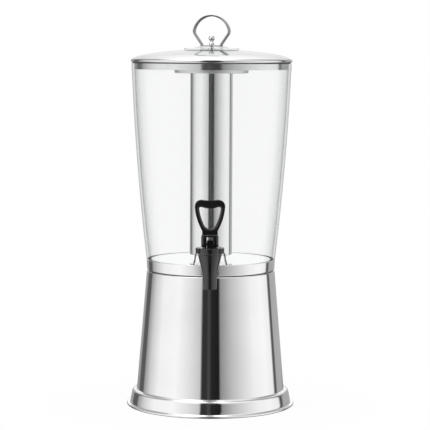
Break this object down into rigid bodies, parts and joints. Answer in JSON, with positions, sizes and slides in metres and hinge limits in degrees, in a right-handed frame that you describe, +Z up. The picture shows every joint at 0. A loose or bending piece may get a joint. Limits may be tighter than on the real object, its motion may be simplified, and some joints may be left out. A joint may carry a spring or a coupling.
{
  "type": "cold drink dispenser",
  "caption": "Clear flared drink container on a spun steel stand, with a steel lid, a hanging ice tube, a clear fill cap with strap handle and a black lever tap.",
  "frame": {"origin": "on the stand's vertical axis, at the level of the table that the foot ring stands on", "axes": "+Z up along the axis of the stand and container, -Y towards the tap and the person who pours, +X to that person's right"},
  "size_m": [0.235, 0.2598, 0.5459],
  "materials": {
    "polished_steel": "mirror-polished stainless steel",
    "clear_wall": "clear moulded polycarbonate, gloss",
    "clear_cap": "clear moulded acrylic, gloss",
    "black_plastic": "black moulded plastic, gloss",
    "dark_rubber": "dark rubber, satin",
    "pale_silicone": "pale silicone, satin"
  },
  "bodies": {
    "stand": {"stand_shell": "polished_steel", "foot_ring": "dark_rubber", "seat_gasket": "dark_rubber"},
    "container": {"base_pan": "polished_steel", "container_wall": "clear_wall", "tap_body": "black_plastic", "tap_bonnet": "black_plastic", "tap_washer_outer": "dark_rubber", "shank_nut": "black_plastic", "return_spring": "polished_steel"},
    "stem": {"tap_stem": "black_plastic", "seat_cup": "pale_silicone"},
    "lever": {"tap_handle": "black_plastic", "pivot_pin": "polished_steel"},
    "lid": {"lid_dome": "polished_steel", "lid_gasket": "dark_rubber", "lid_liner": "polished_steel", "ice_tube": "polished_steel", "tube_flange": "polished_steel"},
    "cap": {"fill_cap": "clear_cap", "strap_handle": "polished_steel", "finial_nut": "polished_steel", "cap_screw": "polished_steel"}
  },
  "joints": [
    {"name": "container_lift", "type": "slide", "parent": "stand", "child": "container", "axis": [0, 0, 1], "range_m": [0, 0.06]},
    {"name": "lid_lift", "type": "slide", "parent": "container", "child": "lid", "axis": [0, 0, 1], "range_m": [0, 0.3]},
    {"name": "cap_lift", "type": "slide", "parent": "lid", "child": "cap", "axis": [0, 0, 1], "range_m": [0, 0.04]},
    {"name": "stem_lift", "type": "slide", "parent": "container", "child": "stem", "axis": [0, 0, 1], "range_m": [0, 0.004], "deforming": ["return_spring"]},
    {"name": "handle_tilt", "type": "hinge", "parent": "stem", "child": "lever", "pos_m": [0, -0.123, 0.2392], "axis": [1, 0, 0], "range_deg": [0, 55], "stiffness_Nm_per_rad": 0.12}
  ],
  "couplings": [
    {"joint": "stem_lift", "follows": "handle_tilt", "m_per_rad": 0.00416}
  ]
}
